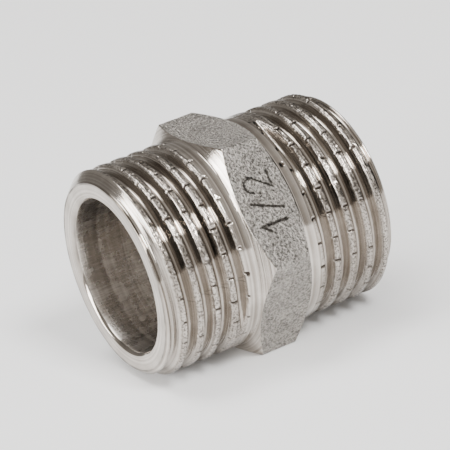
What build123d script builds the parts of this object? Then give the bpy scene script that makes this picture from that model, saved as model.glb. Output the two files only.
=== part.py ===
"""Hex nipple: a one-piece brass pipe fitting with two equal male G 1/2 threads.

The bore runs along X, and the origin is the middle of the hexagon on the bore's axis.
One flat of the hexagon faces straight up, so the nipple stands on the opposite flat.
All sizes are millimetres, and all angles about the bore are taken from +Y towards +Z.
"""

import os
from math import ceil, cos, radians, sin, sqrt, tan

from build123d import *

# Overall length and bore
OVERALL_LENGTH = 25.0
BORE_DIAMETER = 15.2
BORE_CHAMFER = 0.3

# Hexagon, with its corners turned back to a cone on both sides
ACROSS_FLATS = 21.0
CORNER_LENGTH = 3.56        # length of the six corner edges along X
CONE_ANGLE = 30.0           # between the cone's surface and a plane across the bore
CORNER_FILLET = 0.3

# G 1/2 thread (ISO 228): 14 turns to the inch, 55 degree flanks, right hand
PITCH = 25.4 / 14
PITCH_DIAMETER = 19.793
CREST_DIAMETER = 20.6       # flat crests, a little under the nominal 20.955
FLANK_ANGLE = 27.5
ROOT_RADIUS = 0.249
END_BEVEL = 0.9             # 45 degree lead-in at each end
GROOVE_X = 4.84             # where the last full turn of the groove passes GROOVE_ANGLE
GROOVE_ANGLE = 157.0
RUN_OUT_TURN = 35.0         # how much further the groove follows the helix before it runs out
OVERRUN_TURNS = 0.5         # how far the tool goes on past the end face
TOOL_LIFT = 0.3             # how far the tool's section stands outside the crests

# Notches pressed across the crests in rows along the bore, which hold hemp or sealing tape
NOTCH_ROWS = 26
NOTCH_WIDTH = 0.2
NOTCH_DEPTH = 0.16
NOTCH_START_X = 4.0
NOTCH_END_X = 11.0
NOTCH_ANGLE = 152.5

# Worked out from the dimensions above
half_length = OVERALL_LENGTH / 2
crest_radius = CREST_DIAMETER / 2
corner_reach = ACROSS_FLATS / sqrt(3)
cone_slope = tan(radians(CONE_ANGLE))
flank_slope = tan(radians(FLANK_ANGLE))
groove_half_width = PITCH / 4 + (CREST_DIAMETER - PITCH_DIAMETER) / 2 * flank_slope
groove_depth = groove_half_width / flank_slope - ROOT_RADIUS * (1 / sin(radians(FLANK_ANGLE)) - 1)

# The groove starts in the neck beside the hexagon and is cut turn by turn past the end face.
run_out_x = GROOVE_X - PITCH * RUN_OUT_TURN / 360
groove_turns = ceil((half_length - run_out_x) / PITCH + OVERRUN_TURNS)
tangent_length = sqrt((crest_radius + groove_depth) ** 2 - crest_radius ** 2)

# One turn of the groove, swept about Z
with BuildPart() as groove_turn:
    with BuildLine() as helix:
        Helix(PITCH, PITCH, crest_radius)
    start_plane = Plane(origin=helix.line @ 0, x_dir=(1, 0, 0), z_dir=helix.line % 0)
    with BuildSketch(start_plane) as groove_section:
        with BuildLine():
            touch_x = ROOT_RADIUS * (1 - sin(radians(FLANK_ANGLE))) - groove_depth
            touch_y = ROOT_RADIUS * cos(radians(FLANK_ANGLE))
            mouth_y = groove_half_width + TOOL_LIFT * flank_slope
            Line((TOOL_LIFT, -mouth_y), (touch_x, -touch_y))
            ThreePointArc((touch_x, -touch_y), (-groove_depth, 0), (touch_x, touch_y))
            Line((touch_x, touch_y), (TOOL_LIFT, mouth_y))
            Line((TOOL_LIFT, mouth_y), (TOOL_LIFT, -mouth_y))
        make_face()
    sweep(sections=groove_section.sketch, path=helix.line, is_frenet=True)

# Where the groove ends, the tool leaves the metal on the helix's tangent
with BuildPart() as groove_run_out:
    extrude(to_extrude=groove_section.sketch, amount=-tangent_length)

# Where the +X thread's groove starts, and the line that both ends are turned about
start_angle = radians(GROOVE_ANGLE - RUN_OUT_TURN)
run_out_plane = Plane((run_out_x, 0, 0), x_dir=(0, cos(start_angle), sin(start_angle)), z_dir=(1, 0, 0))
turning_axis = Axis((0, 0, 0), (0, cos(radians(GROOVE_ANGLE)), sin(radians(GROOVE_ANGLE))))

# The nipple itself, one solid
with BuildPart() as nipple_body:

    # Hexagon bar, turned to a cone on both sides
    with BuildSketch(Plane.YZ):
        RegularPolygon(radius=ACROSS_FLATS / 2, side_count=6, major_radius=False)
    extrude(amount=half_length, both=True)
    fillet(nipple_body.edges().filter_by(Axis.X), radius=CORNER_FILLET)
    with BuildSketch(Plane.XZ):
        cone_foot = CORNER_LENGTH / 2 + corner_reach * cone_slope
        with BuildLine():
            Polyline((-cone_foot, 0), (-CORNER_LENGTH / 2, corner_reach), (CORNER_LENGTH / 2, corner_reach),
                     (cone_foot, 0), close=True)
        make_face()
    revolve(axis=Axis.X, mode=Mode.INTERSECT)

    # Shanks for the two threads, with their end bevels
    with BuildSketch(Plane.YZ):
        Circle(crest_radius)
    extrude(amount=half_length, both=True)
    end_faces = nipple_body.faces().filter_by(Axis.X)
    chamfer(end_faces.edges(), length=END_BEVEL)

    # Through bore, with a small chamfer at each mouth
    with Locations(Plane.YZ):
        Hole(BORE_DIAMETER / 2)
    mouths = nipple_body.faces().filter_by(Axis.X).edges().group_by(SortBy.RADIUS)[0]
    chamfer(mouths, length=BORE_CHAMFER)

    # Both right-hand threads: the -X one is the +X one turned end for end
    for end_turn in (0, 180):
        for turn in range(groove_turns):
            turn_plane = run_out_plane.offset(turn * PITCH)
            turn_tool = groove_turn.part.moved(turn_plane.location)
            add(turn_tool.rotate(turning_axis, end_turn), mode=Mode.SUBTRACT)
        run_out_tool = groove_run_out.part.moved(run_out_plane.location)
        add(run_out_tool.rotate(turning_axis, end_turn), mode=Mode.SUBTRACT)

    # Rows of notches across the crests of both threads
    for side in (-1, 1):
        with BuildSketch(Plane.YZ.offset(side * NOTCH_START_X)):
            with PolarLocations(crest_radius, NOTCH_ROWS, start_angle=NOTCH_ANGLE):
                Rectangle(2 * NOTCH_DEPTH, NOTCH_WIDTH)
        extrude(amount=side * (NOTCH_END_X - NOTCH_START_X), mode=Mode.SUBTRACT)

nipple_body.part.label = "nipple_body"
os.makedirs("parts", exist_ok=True)
export_step(nipple_body.part, "parts/nipple_body.step")
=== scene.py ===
"""Looks for the hex nipple: one detailed nickel-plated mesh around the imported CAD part.

Distances in the mesh code are millimetres, turned into metres when the mesh is made. Materials,
stage, lights and camera are in metres. Angles about the bore are taken from +Y towards +Z, as in
the CAD.
"""

import math

import bpy
import numpy as np
from mathutils import Matrix, Vector


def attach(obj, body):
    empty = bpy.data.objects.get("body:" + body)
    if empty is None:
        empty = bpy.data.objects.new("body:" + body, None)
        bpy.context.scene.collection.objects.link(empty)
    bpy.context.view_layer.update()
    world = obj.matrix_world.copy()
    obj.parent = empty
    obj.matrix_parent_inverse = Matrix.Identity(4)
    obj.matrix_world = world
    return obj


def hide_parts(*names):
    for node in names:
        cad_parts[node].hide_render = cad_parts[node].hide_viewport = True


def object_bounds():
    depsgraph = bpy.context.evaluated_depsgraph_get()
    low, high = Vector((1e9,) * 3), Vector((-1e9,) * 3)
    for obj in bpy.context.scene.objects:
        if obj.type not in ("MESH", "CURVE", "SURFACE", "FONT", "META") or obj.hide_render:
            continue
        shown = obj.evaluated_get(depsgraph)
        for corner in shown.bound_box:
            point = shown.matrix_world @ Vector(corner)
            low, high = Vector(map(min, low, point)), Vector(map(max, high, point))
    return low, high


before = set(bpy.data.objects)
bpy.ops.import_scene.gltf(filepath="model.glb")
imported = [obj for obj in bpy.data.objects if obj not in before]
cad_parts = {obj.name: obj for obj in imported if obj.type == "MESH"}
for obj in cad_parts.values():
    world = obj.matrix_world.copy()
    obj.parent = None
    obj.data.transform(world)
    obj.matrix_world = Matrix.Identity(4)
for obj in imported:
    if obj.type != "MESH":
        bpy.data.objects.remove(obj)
cad_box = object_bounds()

MM = 0.001
SLOT_MACHINED, SLOT_BLASTED, SLOT_BORE = 0, 1, 2

# From the CAD model's box
HALF_LENGTH = cad_box[1][0] / MM
APOTHEM = cad_box[1][2] / MM

# Hexagon
CORNER_HALF_LENGTH = 1.78
CONE_SLOPE = math.tan(math.radians(30))
CORNER_FILLET = 0.3
COARSE_GRAIN = 0.010        # depths of the shot-blasted grain
FINE_GRAIN = 0.024
BOX_CLEARANCE = 0.0001      # keeps the corners inside the CAD model's box

# Thread: right hand, cut in flat crests; the groove's middle passes GROOVE_ANGLE at GROOVE_X
PITCH = 25.4 / 14
CREST_RADIUS = 10.3
PITCH_RADIUS = 19.793 / 2
ROOT_RADIUS = 0.249
FLANK = math.radians(27.5)
GROOVE_X = 4.84
GROOVE_ANGLE = math.radians(157.0)
RUN_OUT_TURN = 35 / 360     # how much further the groove follows the helix before it runs out
NECK_X = 3.05               # where the turned neck meets the threaded part
END_BEVEL = 0.9
SNAP = 0.012                # points this close to the neck or the end face are moved onto it

# Wear on the crests: edge radii, then the size and depth of dents and ripples
SHARP_EDGE = 0.05
WORN_EDGE = 0.2
DENT_SIZE = 0.32
DENT_DEPTH = 0.08
RIPPLE_SIZE = 0.16
RIPPLE_DEPTH = 0.012

# Notches across the crests; their strength is a share of NOTCH_DEPTH that varies with noise
NOTCH_ROWS = 26
NOTCH_ANGLE = math.radians(152.5)
NOTCH_HALF_WIDTH = 0.1
NOTCH_DEPTH = 0.2
NOTCH_REACH = (4.0, 11.0)
NOTCH_FADE = 0.15
NOTCH_MEAN = 0.62
NOTCH_SPREAD = 0.95
NOTCH_MOST = 1.1

# Single nicks: side, distance from the middle, angle in degrees
NICKS = [(-1, 4.3, 179.2), (-1, 3.84, 181.0), (1, 3.44, 134.0), (1, 6.44, 130.8)]
NICK_DEPTH = 0.16
NICK_FLOOR = 0.1            # radius of a nick's floor, and of its rim
NICK_RIM = 0.22

# Faint parting line along the -X end
SEAM_ANGLE = math.radians(185.0)
SEAM_END_X = 10
SEAM_FILM = 0.6

# Painted shade, from 0 to 1
GROOVE_PAINTED_SHADE = 0.27          # on the groove's floor
FULL_SHADE_DEPTH = 0.04      # a notch this deep gets the full painted shade

# Engraved size mark, on the flat that faces up and towards -Y
MARK_DEPTH = 0.15
MARK_ANGLE = math.radians(150)
MARK_WIDE = 5.6
MARK_HIGH = 2.7
STROKE_FLOOR = 0.05         # half the width of a stroke's floor, and of its rim
STROKE_RIM = 0.14

# Bore; its mouth is a chamfer with softened edges, and is straight from BORE_START inwards
BORE_RADIUS = 7.6
BORE_CHAMFER = 0.3
MOUTH_SOFTENING = 0.07
BORE_START = 0.33

# Columns of the mesh round the bore
COLUMN_STEP = math.radians(0.75)
CLOSEST_COLUMNS = math.radians(0.08)
CLEAR_OF_SPECIAL = math.radians(0.3)

# Base colours, each as its dark and its pale end
MACHINED_COLOURS = (0.36, 0.32, 0.28), (0.69, 0.642, 0.588)
BLASTED_COLOURS = (0.07, 0.063, 0.056), (0.54, 0.507, 0.465)
BORE_COLOURS = (0.30, 0.265, 0.235), (0.88, 0.84, 0.79)
# The dark colour of painted shade, of the parting line and of the pits on the crests
SHADE_SEAM_AND_PIT_COLOUR = (0.045, 0.035, 0.028, 1)

# Stage and camera
FLOOR_SIZE = 1.2
BACKDROP_LEVEL = 1.7        # matches the lit floor in low views
LENS = 208.88
CAMERA_DISTANCE = 0.2488

# Worked out from the dimensions above
CORNER_REACH = APOTHEM / math.cos(math.pi / 6)
HEX_FOOT = CORNER_HALF_LENGTH + (CORNER_REACH - CREST_RADIUS) * CONE_SLOPE
FACE_RADIUS = CREST_RADIUS - END_BEVEL
GROOVE_HALF_WIDTH = PITCH / 4 + (CREST_RADIUS - PITCH_RADIUS) * math.tan(FLANK)
GROOVE_DEPTH = GROOVE_HALF_WIDTH / math.tan(FLANK) - ROOT_RADIUS * (1 / math.sin(FLANK) - 1)
RUN_OUT_X = GROOVE_X - PITCH * RUN_OUT_TURN


def smooth(low, high, value):
    """0 below low, 1 above high, and a smooth step between them."""
    t = np.clip((value - low) / (high - low), 0, 1)
    return t * t * (3 - 2 * t)


def noise(points, cell, seed):
    """Smooth value noise from -1 to 1 at points, with features about one cell across."""
    p = np.asarray(points, dtype=float) / cell
    base = np.floor(p).astype(np.int64)
    f = p - base
    f = f * f * (3 - 2 * f)
    total = np.zeros(p.shape[:-1])
    # Each cell corner's value is an integer hash of its place; the multipliers are arbitrary
    for corner in range(8):
        step = np.array([corner & 1, corner >> 1 & 1, corner >> 2 & 1])
        cell_corner = base + step
        h = (cell_corner[..., 0] * 374761393 + cell_corner[..., 1] * 668265263
             + cell_corner[..., 2] * 2147483647 + seed * 1274126177) & 0xFFFFFFFF
        h = ((h ^ (h >> 13)) * 1103515245 + 12345) & 0xFFFFFFFF
        h = ((h ^ (h >> 16)) * 2654435761) & 0xFFFFFFFF
        weight = np.prod(np.where(step, f, 1 - f), axis=-1)
        total += weight * ((h >> 8) / float(1 << 23) - 1)
    return total


def angle_between(first, second):
    """Signed angle from second to first, from -pi to pi."""
    return (first - second + math.pi) % (2 * math.pi) - math.pi


def patchy(points, cell, seed):
    """Uneven strength of a dark line, from 0.15 to 1."""
    return np.clip(0.7 + 0.6 * noise(points, cell, seed), 0.15, 1)


def column_angles():
    """Angles of the mesh's columns: even, but closer together at notches and hexagon corners."""
    even = np.arange(0, 2 * math.pi, COLUMN_STEP)
    notch = NOTCH_ANGLE + np.arange(NOTCH_ROWS) * 2 * math.pi / NOTCH_ROWS
    across_notch = np.array([-0.15, -0.08, 0, 0.08, 0.15]) / CREST_RADIUS
    seam = SEAM_ANGLE + np.array([-0.09, -0.03, 0.03, 0.09]) / CREST_RADIUS
    corner = np.arange(6) * math.pi / 3
    across_corner = np.radians([-1.2, -0.84, -0.42, 0, 0.42, 0.84, 1.2])
    special = np.concatenate([(notch[:, None] + across_notch).ravel(),
                              (corner[:, None] + across_corner).ravel(), seam]) % (2 * math.pi)
    special = np.sort(special)
    special = special[np.append(np.diff(special) > CLOSEST_COLUMNS, True)]
    gap = np.abs(angle_between(even[:, None], special[None, :])).min(axis=1)
    return np.sort(np.concatenate([even[gap > CLEAR_OF_SPECIAL], special]))


THETA = column_angles()
COLUMNS = len(THETA)


def place(x, r, theta):
    """Points at x along the bore, r from its axis and theta round it."""
    return np.stack([x, r * np.cos(theta), r * np.sin(theta)], axis=-1)


def half_profile(edge_radius):
    """Half a pitch of the thread, from the crest's middle to the groove's: (offset, depth) pairs."""
    tangent = edge_radius * math.tan((math.pi / 2 - FLANK) / 2)
    rise = math.pi / 2 - FLANK
    crest = [(u, 0.0) for u in np.linspace(PITCH / 2, GROOVE_HALF_WIDTH + tangent, 4)]
    edge = [(GROOVE_HALF_WIDTH + tangent - edge_radius * math.sin(a), edge_radius * (1 - math.cos(a)))
            for a in np.linspace(0, rise, 5)[1:]]
    root = [(ROOT_RADIUS * math.sin(a), GROOVE_DEPTH - ROOT_RADIUS * (1 - math.cos(a)))
            for a in np.linspace(rise, 0, 4)]
    top, bottom = edge[-1], root[0]
    flank = [(top[0] + (bottom[0] - top[0]) * t, top[1] + (bottom[1] - top[1]) * t) for t in (0.33, 0.67)]
    return crest + edge + flank + root


def thread_profile(side):
    """One pitch of the thread, in order of the offset from the groove's middle.

    The edge of each crest that faces -X is worn round, and the one that faces +X is sharp.
    """
    inner, outer = (SHARP_EDGE, WORN_EDGE) if side > 0 else (WORN_EDGE, SHARP_EDGE)
    points = [(-u, d) for u, d in half_profile(inner)] + half_profile(outer)[::-1][1:-1]
    return np.array(sorted(points))


class Shell:
    """Collects grids of points and the faces between them, then makes one closed mesh."""

    def __init__(self):
        self.points, self.marks, self.faces, self.slots, self.count = [], [], [], [], 0

    def add(self, points, crest, painted_shade_and_seam, slot, outward):
        """points is (rows, columns, 3), closed round the bore; slot is a number or one per face."""
        rows, columns = points.shape[:2]
        own = np.arange(rows * columns).reshape(rows, columns) + self.count
        right = np.roll(own, -1, axis=1)
        quads = np.stack([own[:-1], right[:-1], right[1:], own[1:]], axis=-1)
        self.add_quads(points, crest, painted_shade_and_seam, quads.reshape(-1, 4), slot, outward)

    def add_quads(self, points, crest, painted_shade_and_seam, quads, slot, outward):
        if not outward:
            quads = quads[:, ::-1]
        self.points.append(points.reshape(-1, 3))
        marks = [np.broadcast_to(mark, points.shape[:-1]).reshape(-1) for mark in (crest, painted_shade_and_seam)]
        self.marks.append(np.stack(marks, axis=-1))
        self.faces.append(quads)
        self.slots.append(np.broadcast_to(slot, (len(quads),)))
        self.count += points.shape[0] * points.shape[1]

    def mesh(self, name):
        points = np.concatenate(self.points)
        marks = np.concatenate(self.marks)
        quads = np.concatenate(self.faces)
        slots = np.concatenate(self.slots)
        # Points that coincide become one point
        key = np.round(points / 2e-4).astype(np.int64)
        _, first, same = np.unique(key, axis=0, return_index=True, return_inverse=True)
        quads = same.reshape(-1)[quads]
        points, marks = points[first], marks[first]
        faces, kept = [], []
        for face, slot in zip(quads.tolist(), slots.tolist()):
            ring = [v for n, v in enumerate(face) if v != face[n - 1]]
            if len(set(ring)) > 2 and len(set(ring)) == len(ring):
                faces.append(ring)
                kept.append(slot)
        mesh = bpy.data.meshes.new(name)
        mesh.from_pydata((points * MM).tolist(), [], faces)
        mesh.polygons.foreach_set("material_index", kept)
        mesh.polygons.foreach_set("use_smooth", [True] * len(faces))
        # The second mark is painted shade, with the dark parting line on the -X thread
        for label, column in (("crest", 0), ("painted_shade_and_seam", 1)):
            mark = mesh.attributes.new(label, "FLOAT", "POINT")
            mark.data.foreach_set("value", marks[:, column].astype(np.float32))
        mesh.validate()
        mesh.update()
        return mesh


def crest_wear(points):
    """Small dents and ripples on the thread's crests, as depth."""
    dents = np.clip(noise(points, DENT_SIZE, 3) - 0.2, 0, 1) * DENT_DEPTH
    ripple = noise(points, RIPPLE_SIZE, 5) * RIPPLE_DEPTH
    return dents + ripple + RIPPLE_DEPTH


def notch_depth(x, theta):
    """Depth of the rows of notches across the crests at distance x from the middle."""
    turn = 2 * math.pi / NOTCH_ROWS
    number = np.round((theta - NOTCH_ANGLE) / turn)
    away = np.abs(theta - NOTCH_ANGLE - number * turn) * CREST_RADIUS
    start, end = NOTCH_REACH
    reach = smooth(start - NOTCH_FADE, start, x) * (1 - smooth(end, end + NOTCH_FADE, x))
    # Strength drifts slowly along a row, and the rows lie far apart in the noise, so they differ
    spot = np.stack([x * 0.55, number % NOTCH_ROWS * 3.1, np.zeros_like(x)], axis=-1)
    strength = np.clip(NOTCH_MEAN + NOTCH_SPREAD * noise(spot, 1.0, 11), 0.0, NOTCH_MOST)
    section = 1 - smooth(NOTCH_HALF_WIDTH * 0.75, NOTCH_HALF_WIDTH * 1.25, away)
    return NOTCH_DEPTH * strength * reach * section


def nick_depth(side, x, theta):
    """Depth of the few single nicks."""
    depth = np.zeros(x.shape)
    for nick_side, nick_x, nick_angle in NICKS:
        if nick_side == side:
            across = angle_between(theta, math.radians(nick_angle)) * CREST_RADIUS
            away = np.hypot(x - nick_x, across)
            depth = np.maximum(depth, NICK_DEPTH * (1 - smooth(NICK_FLOOR, NICK_RIM, away)))
    return depth


def thread_painted_shade_and_seam(side, points, x, theta, cut, notch, near_edge, on_crest):
    """Painted shade in notches, deep in the groove and along crest edges, and a dark line on the parting
    line.
    """
    in_notch = np.clip(np.clip(notch - cut, 0, None) / FULL_SHADE_DEPTH, 0, 1)
    in_groove = GROOVE_PAINTED_SHADE * smooth(0.15, 0.7, cut)
    painted_shade_and_seam = np.maximum(np.maximum(in_notch, in_groove), near_edge * patchy(points, 0.35, 31))
    if side < 0:
        on_seam = 1 - smooth(0.03, 0.08, np.abs(theta - SEAM_ANGLE) * CREST_RADIUS)
        painted_shade_and_seam = np.maximum(painted_shade_and_seam, SEAM_FILM * on_seam * (1 - on_crest) * (x < SEAM_END_X))
    return painted_shade_and_seam


def face_rim(profile, lead):
    """Radius of each column at the end face, which is lower where the face cuts the groove off."""
    at_face = (HALF_LENGTH - GROOVE_X - lead + PITCH / 2) % PITCH - PITCH / 2
    depth = np.interp(at_face, np.append(profile[:, 0], PITCH / 2), np.append(profile[:, 1], 0.0))
    rim = np.minimum(CREST_RADIUS - depth, FACE_RADIUS)
    rim[-1] = rim[0]
    return rim


def add_thread(shell, side):
    """The threaded part of one end, from the neck to the end face, in rows that follow the helix.

    Returns the radius of each column's rim at the end face.
    """
    profile = thread_profile(side)
    per_turn = len(profile)
    turns = int(math.ceil((HALF_LENGTH - NECK_X) / PITCH)) + 2
    first_turn = math.floor((NECK_X - GROOVE_X) / PITCH) - 1
    number = np.arange(turns * per_turn + 1)
    turn = first_turn + number // per_turn
    offset = profile[number % per_turn, 0][:, None]
    depth = profile[number % per_turn, 1][:, None]

    # x is the distance from the middle; the last column is the first one again, a turn further on
    round_once = np.append(THETA, THETA[0] + 2 * math.pi)
    lead = side * (round_once - GROOVE_ANGLE) / (2 * math.pi) * PITCH
    middle = GROOVE_X + turn[:, None] * PITCH + lead[None, :]
    x = middle + offset
    theta = np.broadcast_to(round_once, x.shape)
    x = np.where(x < NECK_X + SNAP, NECK_X, x)
    x = np.where(x > HALF_LENGTH - SNAP, HALF_LENGTH, x)

    # The tool leaves the metal on the helix's tangent beside the neck
    past = np.clip((RUN_OUT_X - middle) / PITCH * 2 * math.pi * CREST_RADIUS, 0, None)
    cut = np.clip(depth - past ** 2 / (2 * CREST_RADIUS), 0, None)
    in_metal = past ** 2 < 2 * CREST_RADIUS * GROOVE_DEPTH

    # Wear is on the crests only, clear of the neck and of the end bevel
    surface = place(side * x, np.full_like(x, CREST_RADIUS), theta)
    bevel_x = HALF_LENGTH - END_BEVEL
    threaded = smooth(NECK_X + 0.8, NECK_X + 1.3, x)
    land = 1 - smooth(bevel_x - 0.15, bevel_x + 0.1, x)
    on_crest = 1 - smooth(0.06, 0.2, cut)
    cut = cut + crest_wear(surface) * on_crest * threaded * land
    notch = np.maximum(notch_depth(x, theta), nick_depth(side, x, theta))

    # Painted shade along the crest edges that face +X
    off_edge = side * offset + GROOVE_HALF_WIDTH
    near_edge = np.exp(-((off_edge - 0.03) / 0.085) ** 2) * threaded * land * (depth < 0.3) * in_metal
    painted_shade_and_seam = thread_painted_shade_and_seam(side, surface, x, theta, cut, notch, near_edge, on_crest)

    rim = face_rim(profile, lead)
    bevel = FACE_RADIUS + HALF_LENGTH - x
    radius = np.minimum(CREST_RADIUS - np.maximum(cut, notch), bevel)
    radius = np.where(x >= HALF_LENGTH, rim[None, :], radius)
    points = place(side * x, radius, theta)
    crest = on_crest * threaded * land

    # Only the faces between the neck and the end face are kept
    rows, columns = x.shape
    own = np.arange(rows * columns).reshape(rows, columns) + shell.count
    quads = np.stack([own[:-1, :-1], own[:-1, 1:], own[1:, 1:], own[1:, :-1]], axis=-1).reshape(-1, 4)
    one_way = (x[:-1, :-1] < HALF_LENGTH) & (x[1:, 1:] > NECK_X)
    other_way = (x[:-1, 1:] < HALF_LENGTH) & (x[1:, :-1] > NECK_X)
    inside = (one_way | other_way).ravel()
    shell.add_quads(points, crest, painted_shade_and_seam, quads[inside], SLOT_MACHINED, side > 0)
    return rim[:-1]


def angle_from_corner(theta):
    """Angle to the hexagon's nearest corner; the corners are at multiples of 60 degrees."""
    return np.abs((theta + math.pi / 6) % (math.pi / 3) - math.pi / 6)


def hexagon_radius(theta):
    """Distance from the axis to the hexagon's surface, with rounded corners."""
    from_corner = angle_from_corner(theta)
    flat = APOTHEM / np.cos(math.pi / 6 - from_corner)
    centre = CORNER_REACH - CORNER_FILLET / math.cos(math.pi / 6)
    rounded = centre * np.cos(from_corner) + np.sqrt(
        np.maximum(CORNER_FILLET ** 2 - (centre * np.sin(from_corner)) ** 2, 0))
    touch = math.atan2(CORNER_FILLET * math.sin(math.pi / 6), centre + CORNER_FILLET * math.cos(math.pi / 6))
    return np.where(from_corner < touch, rounded, flat)


def blasted_grain(points):
    """Depth of the shot-blasted grain on the hexagon's flats."""
    coarse = noise(points, 0.42, 21) * COARSE_GRAIN
    fine = noise(points, 0.24, 23) * FINE_GRAIN
    return coarse + fine + (COARSE_GRAIN + FINE_GRAIN)


def number_strokes():
    """The size mark 1/2 as strokes on a flat: (start, end) pairs, 0 to 1 wide and high."""
    one = [((0.02, 0.72), (0.14, 1.0)), ((0.14, 1.0), (0.14, 0.0))]
    bar = [((0.34, -0.05), (0.56, 1.05))]
    arc = [(0.86 + 0.13 * math.cos(a), 0.74 + 0.26 * math.sin(a)) for a in np.linspace(math.pi, -0.5, 9)]
    two = list(zip(arc[:-1], arc[1:])) + [(arc[-1], (0.73, 0.0)), ((0.73, 0.0), (1.0, 0.0))]
    return one + bar + two


def mark_depth(x, theta):
    """Depth of the engraved size mark, from each point's distance to the nearest stroke."""
    across = APOTHEM * np.tan(np.clip(theta - MARK_ANGLE, -0.5, 0.5))
    u = -across / MARK_WIDE + 0.5
    v = -x / MARK_HIGH + 0.5
    nearest = np.full(x.shape, 1e9)
    for (u0, v0), (u1, v1) in number_strokes():
        ax, ay = u0 * MARK_WIDE, v0 * MARK_HIGH
        bx, by = (u1 - u0) * MARK_WIDE, (v1 - v0) * MARK_HIGH
        px, py = u * MARK_WIDE - ax, v * MARK_HIGH - ay
        t = np.clip((px * bx + py * by) / (bx * bx + by * by), 0, 1)
        nearest = np.minimum(nearest, np.hypot(px - t * bx, py - t * by))
    on_this_flat = np.abs(theta - MARK_ANGLE) < 0.5
    return np.where(on_this_flat, MARK_DEPTH * (1 - smooth(STROKE_FLOOR, STROKE_RIM, nearest)), 0)


def add_hexagon(shell):
    """Neck, turned cone, flats, cone and neck, as one band with its edges on mesh rows."""
    reach = hexagon_radius(THETA)
    edge = CORNER_HALF_LENGTH + (CORNER_REACH - reach) * CONE_SLOPE
    neck = [np.full(COLUMNS, x) for x in np.linspace(-NECK_X, -HEX_FOOT, 4)[:-1]]
    cone = [-HEX_FOOT + (HEX_FOOT - edge) * t for t in np.linspace(0, 1, 11)]
    flat = [-edge + 2 * edge * t for t in np.linspace(0, 1, 58)[1:-1]]
    x = np.array(neck + cone + flat + [-row for row in cone[::-1]] + [-row for row in neck[::-1]])
    theta = np.broadcast_to(THETA, x.shape)
    cone_radius = CORNER_REACH - (np.abs(x) - CORNER_HALF_LENGTH) / CONE_SLOPE
    radius = np.maximum(np.minimum(np.broadcast_to(reach, x.shape), cone_radius), CREST_RADIUS)
    n_neck, n_cone = len(neck), len(cone)
    on_flat = np.zeros(x.shape)
    inner = slice(n_neck + n_cone, len(x) - n_neck - n_cone)
    on_flat[inner] = smooth(0, 0.12, edge - np.abs(x[inner]))
    corner_fade = 1 - 0.6 * (1 - smooth(0.3, 1.2, angle_from_corner(theta) * CORNER_REACH))
    grain = blasted_grain(place(x, radius, theta)) * on_flat * corner_fade
    mark = mark_depth(x, theta)
    radius = np.minimum(radius, cad_box[1][1] / MM - BOX_CLEARANCE) - grain - mark
    slot_rows = np.full(len(x) - 1, SLOT_MACHINED)
    slot_rows[n_neck + n_cone - 1:len(x) - n_neck - n_cone] = SLOT_BLASTED
    slot = np.repeat(slot_rows, COLUMNS)
    # The engraved strokes carry painted shade, darker the deeper they are
    shell.add(place(x, radius, theta), 0.0, mark / MARK_DEPTH, slot, True)


def add_end(shell, side, rim):
    """End face, bore chamfer and half of the bore, from the thread's rim inwards."""
    mouth = BORE_RADIUS + BORE_CHAMFER
    rows_r, rows_x = [rim], [np.full(COLUMNS, HALF_LENGTH)]
    for t in (0.02, 0.1, 0.15, 0.3, 0.5, 0.7, 0.88):
        rows_r.append(rim + (mouth + MOUTH_SOFTENING - rim) * t)
        rows_x.append(np.full(COLUMNS, HALF_LENGTH))
    mouth_profile = [(mouth + MOUTH_SOFTENING, 0), (mouth, 0.015), (mouth - MOUTH_SOFTENING, 0.075),
                     (BORE_RADIUS + 0.04, 0.24), (BORE_RADIUS, BORE_START)]
    for r, inside in mouth_profile:
        rows_r.append(np.full(COLUMNS, r))
        rows_x.append(np.full(COLUMNS, HALF_LENGTH - inside))
    n_face = len(rows_r)
    for t in np.linspace(0, 1, 11)[1:]:
        rows_r.append(np.full(COLUMNS, BORE_RADIUS))
        rows_x.append(np.full(COLUMNS, (HALF_LENGTH - BORE_START) * (1 - t)))
    x, r = np.array(rows_x), np.array(rows_r)
    theta = np.broadcast_to(THETA, x.shape)
    in_bore = np.arange(len(x) - 1) >= n_face - 1
    slot = np.repeat(np.where(in_bore, SLOT_BORE, SLOT_MACHINED), COLUMNS)
    # Painted shade: dark lines just inside the rim and near the bore's own edge
    painted_shade_and_seam = np.zeros(x.shape)
    painted_shade_and_seam[1:3], painted_shade_and_seam[n_face - 2] = 0.85, 0.7
    painted_shade_and_seam *= patchy(place(x, r, theta), 0.9, 41)
    shell.add(place(side * x, r, theta), 0.0, painted_shade_and_seam, slot, side > 0)


def build_body():
    shell = Shell()
    for side in (-1, 1):
        rim = add_thread(shell, side)
        add_end(shell, side, rim)
    add_hexagon(shell)
    mesh = shell.mesh("nipple_metal")
    body = bpy.data.objects.new("nipple_metal", mesh)
    bpy.context.scene.collection.objects.link(body)
    return body


# Materials

def new_material(name):
    material = bpy.data.materials.new(name)
    material.use_nodes = True
    nodes, links = material.node_tree.nodes, material.node_tree.links
    shader = nodes["Principled BSDF"]
    shader.inputs["Metallic"].default_value = 1.0
    return material, nodes, links, shader


def math_node(nodes, links, operation, *values):
    node = nodes.new("ShaderNodeMath")
    node.operation = operation
    for slot, value in enumerate(values):
        if isinstance(value, (int, float)):
            node.inputs[slot].default_value = value
        else:
            links.new(value, node.inputs[slot])
    return node.outputs[0]


def noise_node(nodes, links, vector, scale, detail=2.0, rough=0.5):
    node = nodes.new("ShaderNodeTexNoise")
    node.inputs["Scale"].default_value = scale
    node.inputs["Detail"].default_value = detail
    node.inputs["Roughness"].default_value = rough
    links.new(vector, node.inputs["Vector"])
    return node.outputs["Fac"]


def mesh_mark(nodes, name):
    """A mark from 0 to 1 that the mesh's points carry: crest, or painted shade with the dark parting line.
    """
    node = nodes.new("ShaderNodeAttribute")
    node.attribute_name = name
    return node.outputs["Fac"]


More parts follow.
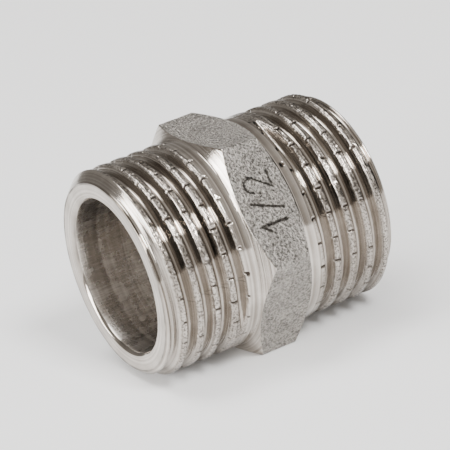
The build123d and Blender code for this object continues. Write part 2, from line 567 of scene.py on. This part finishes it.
def turning_lines(nodes, links, position, scale):
    """Noise that is constant round the bore, so its lines run as a lathe tool leaves them."""
    parts = nodes.new("ShaderNodeSeparateXYZ")
    links.new(position, parts.inputs[0])
    y2 = math_node(nodes, links, "MULTIPLY", parts.outputs[1], parts.outputs[1])
    z2 = math_node(nodes, links, "MULTIPLY", parts.outputs[2], parts.outputs[2])
    radius = math_node(nodes, links, "SQRT", math_node(nodes, links, "ADD", y2, z2))
    outward = math_node(nodes, links, "MULTIPLY", radius, 1.31)
    along = math_node(nodes, links, "ADD", parts.outputs[0], outward)
    node = nodes.new("ShaderNodeTexNoise")
    node.noise_dimensions = "1D"
    node.inputs["Scale"].default_value = scale
    node.inputs["Detail"].default_value = 2.0
    links.new(along, node.inputs["W"])
    return node.outputs["Fac"]


def ramp(nodes, links, value, low, high, to_low, to_high):
    node = nodes.new("ShaderNodeMapRange")
    node.inputs["From Min"].default_value = low
    node.inputs["From Max"].default_value = high
    node.inputs["To Min"].default_value = to_low
    node.inputs["To Max"].default_value = to_high
    links.new(value, node.inputs["Value"])
    return node.outputs["Result"]


def mix_colour(nodes, links, factor, low, high):
    node = nodes.new("ShaderNodeMix")
    node.data_type = "RGBA"
    node.inputs["A"].default_value = (*low, 1)
    node.inputs["B"].default_value = (*high, 1)
    links.new(factor, node.inputs["Factor"])
    return node.outputs["Result"]


def bump(nodes, links, height, distance, strength=1.0, normal=None):
    node = nodes.new("ShaderNodeBump")
    node.inputs["Distance"].default_value = distance
    node.inputs["Strength"].default_value = strength
    links.new(height, node.inputs["Height"])
    if normal is not None:
        links.new(normal, node.inputs["Normal"])
    return node.outputs["Normal"]


def machined_nickel():
    """Bright plated metal with fine turning lines; rougher and dented where the crest mark is 1."""
    material, nodes, links, shader = new_material("machined_nickel")
    position = nodes.new("ShaderNodeTexCoord").outputs["Object"]
    crest = mesh_mark(nodes, "crest")
    fine = turning_lines(nodes, links, position, 9000)
    broad = turning_lines(nodes, links, position, 2600)
    grain = noise_node(nodes, links, position, 5200, 3.0, 0.6)
    blotch = noise_node(nodes, links, position, 420, 3.0, 0.6)
    pits = ramp(nodes, links, grain, 0.40, 0.54, 0.8, 0.0)
    pits = math_node(nodes, links, "MULTIPLY", pits, crest)
    shade = math_node(nodes, links, "ADD", ramp(nodes, links, blotch, 0.3, 0.7, 0.1, 0.55),
                      ramp(nodes, links, broad, 0.32, 0.68, -0.35, 0.55))
    colour = mix_colour(nodes, links, shade, *MACHINED_COLOURS)
    painted_shade_and_seam = mesh_mark(nodes, "painted_shade_and_seam")
    # Painted shade, the parting line and the crest pits mix in the dark colour
    shade_seam_and_pits = nodes.new("ShaderNodeMix")
    shade_seam_and_pits.data_type = "RGBA"
    links.new(math_node(nodes, links, "MAXIMUM", painted_shade_and_seam, pits), shade_seam_and_pits.inputs["Factor"])
    links.new(colour, shade_seam_and_pits.inputs["A"])
    shade_seam_and_pits.inputs["B"].default_value = SHADE_SEAM_AND_PIT_COLOUR
    links.new(shade_seam_and_pits.outputs["Result"], shader.inputs["Base Color"])
    rough = ramp(nodes, links, blotch, 0.3, 0.7, 0.07, 0.13)
    rougher = math_node(nodes, links, "MULTIPLY", crest, 0.15)
    rough = math_node(nodes, links, "ADD", rough, rougher)
    links.new(rough, shader.inputs["Roughness"])
    normal = bump(nodes, links, fine, 0.000006)
    normal = bump(nodes, links, broad, 0.00002, 1.0, normal)
    speckle = math_node(nodes, links, "MULTIPLY", grain, crest)
    normal = bump(nodes, links, speckle, 0.00002, 1.0, normal)
    links.new(normal, shader.inputs["Normal"])
    return material


def blasted_nickel():
    """The hexagon's shot-blasted flats."""
    material, nodes, links, shader = new_material("blasted_nickel")
    position = nodes.new("ShaderNodeTexCoord").outputs["Object"]
    grain = noise_node(nodes, links, position, 4400, 2.0, 0.6)
    blotch = noise_node(nodes, links, position, 500, 3.0, 0.6)
    pits = ramp(nodes, links, grain, 0.33, 0.62, 0.0, 1.0)
    shade = math_node(nodes, links, "ADD", math_node(nodes, links, "MULTIPLY", pits, 0.75),
                      ramp(nodes, links, blotch, 0.3, 0.7, 0.0, 0.25))
    # Painted shade in the engraved strokes
    darkened = math_node(nodes, links, "MULTIPLY", mesh_mark(nodes, "painted_shade_and_seam"), 0.85)
    shade = math_node(nodes, links, "SUBTRACT", shade, darkened)
    colour = mix_colour(nodes, links, shade, *BLASTED_COLOURS)
    links.new(colour, shader.inputs["Base Color"])
    links.new(ramp(nodes, links, grain, 0.35, 0.65, 0.34, 0.44), shader.inputs["Roughness"])
    links.new(bump(nodes, links, grain, 0.0006), shader.inputs["Normal"])
    return material


def bore_nickel():
    """The drilled bore, with rougher turning marks and lengthwise streaks in its colour."""
    material, nodes, links, shader = new_material("bore_nickel")
    position = nodes.new("ShaderNodeTexCoord").outputs["Object"]
    fine = turning_lines(nodes, links, position, 7000)
    broad = turning_lines(nodes, links, position, 1500)
    stretch = nodes.new("ShaderNodeMapping")
    stretch.inputs["Scale"].default_value = (0.08, 1, 1)
    links.new(position, stretch.inputs["Vector"])
    streak = noise_node(nodes, links, stretch.outputs[0], 7500, 4.0, 0.6)
    blotch = noise_node(nodes, links, position, 700, 3.0, 0.6)
    shade = math_node(nodes, links, "ADD", ramp(nodes, links, streak, 0.3, 0.7, 0.0, 0.6),
                      ramp(nodes, links, broad, 0.35, 0.65, 0.0, 0.45))
    colour = mix_colour(nodes, links, shade, *BORE_COLOURS)
    links.new(colour, shader.inputs["Base Color"])
    links.new(ramp(nodes, links, blotch, 0.3, 0.7, 0.2, 0.34), shader.inputs["Roughness"])
    normal = bump(nodes, links, fine, 0.000012)
    normal = bump(nodes, links, broad, 0.00003, 1.0, normal)
    normal = bump(nodes, links, streak, 0.00001, 1.0, normal)
    links.new(normal, shader.inputs["Normal"])
    return material


# Stage, light and camera

def add_floor():
    mesh = bpy.data.meshes.new("studio_floor")
    z = cad_box[0][2]
    corners = [(x * FLOOR_SIZE, y * FLOOR_SIZE, z) for x, y in ((-1, -1), (1, -1), (1, 1), (-1, 1))]
    mesh.from_pydata(corners, [], [(0, 1, 2, 3)])
    floor = bpy.data.objects.new("studio_floor", mesh)
    bpy.context.scene.collection.objects.link(floor)
    material, nodes, links, shader = new_material("floor_white")
    shader.inputs["Metallic"].default_value = 0.0
    shader.inputs["Base Color"].default_value = (0.86, 0.86, 0.86, 1)
    shader.inputs["Emission Color"].default_value = (1, 1, 1, 1)
    shader.inputs["Emission Strength"].default_value = 0.05
    shader.inputs["Roughness"].default_value = 1.0
    shader.inputs["Specular IOR Level"].default_value = 0.0
    mesh.materials.append(material)


def area_light(name, place_at, size, power, colour=(1, 1, 1)):
    light = bpy.data.lights.new(name, "AREA")
    light.shape = "RECTANGLE"
    light.size, light.size_y = size
    light.energy = power
    light.color = colour
    lamp = bpy.data.objects.new(name, light)
    lamp.location = place_at
    lamp.rotation_euler = Vector(place_at).to_track_quat("Z", "Y").to_euler()
    bpy.context.scene.collection.objects.link(lamp)


def add_world():
    """A grey studio: a bright front and left side, dark to the right, and pale to the camera."""
    world = bpy.data.worlds.new("studio")
    bpy.context.scene.world = world
    world.use_nodes = True
    nodes, links = world.node_tree.nodes, world.node_tree.links
    background = nodes["Background"]
    direction = nodes.new("ShaderNodeTexCoord").outputs["Generated"]
    parts = nodes.new("ShaderNodeSeparateXYZ")
    links.new(direction, parts.inputs[0])
    x, y, z = parts.outputs
    front = ramp(nodes, links, y, -0.25, 0.7, 0.76, 0.34)
    side = ramp(nodes, links, x, 0.50, 0.60, 1.0, 0.03)
    above = math_node(nodes, links, "MULTIPLY", front, side)
    horizon = ramp(nodes, links, z, -0.02, 0.03, 0, 1)
    links.new(mix_colour(nodes, links, horizon, (0.85, 0.84, 0.82), (0, 0, 0)), background.inputs["Color"])
    sky = nodes.new("ShaderNodeBackground")
    tint = nodes.new("ShaderNodeMix")
    tint.data_type = "RGBA"
    tint.inputs["A"].default_value = (0, 0, 0, 1)
    tint.inputs["B"].default_value = (1.0, 0.955, 0.90, 1)
    links.new(math_node(nodes, links, "MULTIPLY", above, horizon), tint.inputs["Factor"])
    links.new(tint.outputs["Result"], sky.inputs["Color"])
    both = nodes.new("ShaderNodeAddShader")
    links.new(background.outputs[0], both.inputs[0])
    links.new(sky.outputs[0], both.inputs[1])
    plain = nodes.new("ShaderNodeBackground")
    plain.inputs["Strength"].default_value = BACKDROP_LEVEL
    plain.inputs["Color"].default_value = (1, 1, 1, 1)
    seen = nodes.new("ShaderNodeMixShader")
    links.new(nodes.new("ShaderNodeLightPath").outputs["Is Camera Ray"], seen.inputs["Fac"])
    links.new(both.outputs[0], seen.inputs[1])
    links.new(plain.outputs[0], seen.inputs[2])
    links.new(seen.outputs[0], nodes["World Output"].inputs["Surface"])


def add_camera():
    data = bpy.data.cameras.new("camera")
    camera = bpy.data.objects.new("camera", data)
    bpy.context.scene.collection.objects.link(camera)
    azimuth, elevation, roll = math.radians(-26.66), math.radians(20.77), math.radians(-11.36)
    aim = Vector((0.0001, 0.00025, 0.00071))
    back = Vector((math.sin(azimuth) * math.cos(elevation), -math.cos(azimuth) * math.cos(elevation),
                   math.sin(elevation)))
    camera.location = aim + back * CAMERA_DISTANCE
    turn = back.to_track_quat("Z", "Y").to_matrix() @ Matrix.Rotation(roll, 3, "Z")
    camera.rotation_euler = turn.to_euler()
    data.sensor_width = 36
    data.lens = LENS
    data.clip_start = 0.01
    data.clip_end = 10
    bpy.context.scene.camera = camera


body = build_body()
for material in (machined_nickel(), blasted_nickel(), bore_nickel()):
    body.data.materials.append(material)
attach(body, "root")
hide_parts("nipple_body")
add_floor()
add_world()
area_light("key", (0.06, -0.55, 0.60), (0.16, 0.22), 7)
area_light("left", (-0.8, 0.0, 0.25), (1.0, 0.24), 13)
area_light("top", (-0.15, 0.15, 0.8), (0.4, 0.4), 5)
add_camera()
